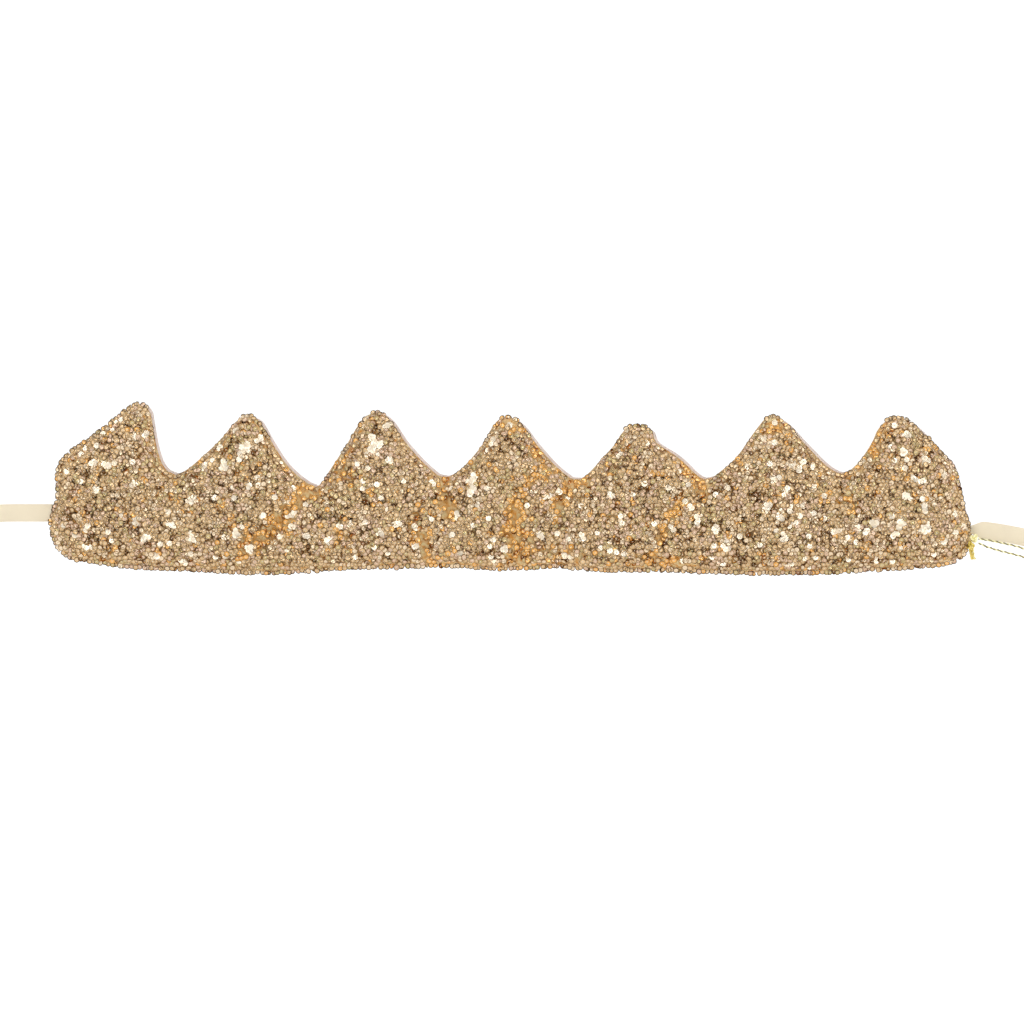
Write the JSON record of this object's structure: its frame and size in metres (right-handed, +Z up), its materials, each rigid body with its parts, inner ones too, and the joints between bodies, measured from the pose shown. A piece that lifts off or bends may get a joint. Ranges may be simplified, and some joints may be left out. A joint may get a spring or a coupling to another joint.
{
  "type": "fabric crown",
  "caption": "Soft padded fabric crown covered in small gold sequins, with rounded points, a pale lining and a tie ribbon at each end, spread out flat.",
  "frame": {"origin": "middle of the crown at the lining's back, level with the lowest part of the hem", "axes": "+X to the right seen from the sequined side, +Y back to the wearer's head, +Z up to the points"},
  "size_m": [0.6988, 0.0499, 0.0787],
  "materials": {
    "sequin_cloth": "cloth covered all over in small cupped gold sequins",
    "wadding": "lofty white polyester wadding",
    "lining": "pale pink-cream woven lining, matt",
    "ribbon": "cream satin ribbon with a fine rib and woven edges",
    "tie": "cream cotton tape",
    "metallic_thread": "twisted metallic gold thread"
  },
  "bodies": {
    "panel_1": {"sequin_cloth_1": "sequin_cloth", "wadding_1": "wadding", "lining_1": "lining", "ribbon_left": "ribbon", "ribbon_left_hank": "ribbon", "ribbon_left_hank_tie": "tie"},
    "panel_2": {"sequin_cloth_2": "sequin_cloth", "wadding_2": "wadding", "lining_2": "lining"},
    "panel_3": {"sequin_cloth_3": "sequin_cloth", "wadding_3": "wadding", "lining_3": "lining"},
    "panel_4": {"sequin_cloth_4": "sequin_cloth", "wadding_4": "wadding", "lining_4": "lining"},
    "panel_5": {"sequin_cloth_5": "sequin_cloth", "wadding_5": "wadding", "lining_5": "lining"},
    "panel_6": {"sequin_cloth_6": "sequin_cloth", "wadding_6": "wadding", "lining_6": "lining"},
    "panel_7": {"sequin_cloth_7": "sequin_cloth", "wadding_7": "wadding", "lining_7": "lining", "ribbon_right": "ribbon", "ribbon_right_hank": "ribbon", "ribbon_right_hank_tie": "tie", "hang_thread_knot": "metallic_thread", "hang_thread_loop": "metallic_thread"}
  },
  "joints": [
    {"name": "bend_1_2", "type": "hinge", "parent": "panel_2", "child": "panel_1", "pos_m": [-0.1525, 0, 0.02], "axis": [0, 0, -1], "range_deg": [0, 37]},
    {"name": "bend_2_3", "type": "hinge", "parent": "panel_3", "child": "panel_2", "pos_m": [-0.088, 0, 0.02], "axis": [0, 0, -1], "range_deg": [0, 37]},
    {"name": "bend_3_4", "type": "hinge", "parent": "panel_4", "child": "panel_3", "pos_m": [-0.0307, 0, 0.02], "axis": [0, 0, -1], "range_deg": [0, 37]},
    {"name": "bend_4_5", "type": "hinge", "parent": "panel_4", "child": "panel_5", "pos_m": [0.0303, 0, 0.02], "axis": [0, 0, 1], "range_deg": [0, 37]},
    {"name": "bend_5_6", "type": "hinge", "parent": "panel_5", "child": "panel_6", "pos_m": [0.0892, 0, 0.02], "axis": [0, 0, 1], "range_deg": [0, 37]},
    {"name": "bend_6_7", "type": "hinge", "parent": "panel_6", "child": "panel_7", "pos_m": [0.1513, 0, 0.02], "axis": [0, 0, 1], "range_deg": [0, 37]}
  ],
  "couplings": [
    {"joint": "bend_1_2", "follows": "bend_4_5", "ratio": 1},
    {"joint": "bend_2_3", "follows": "bend_4_5", "ratio": 1},
    {"joint": "bend_3_4", "follows": "bend_4_5", "ratio": 1},
    {"joint": "bend_5_6", "follows": "bend_4_5", "ratio": 1},
    {"joint": "bend_6_7", "follows": "bend_4_5", "ratio": 1}
  ]
}
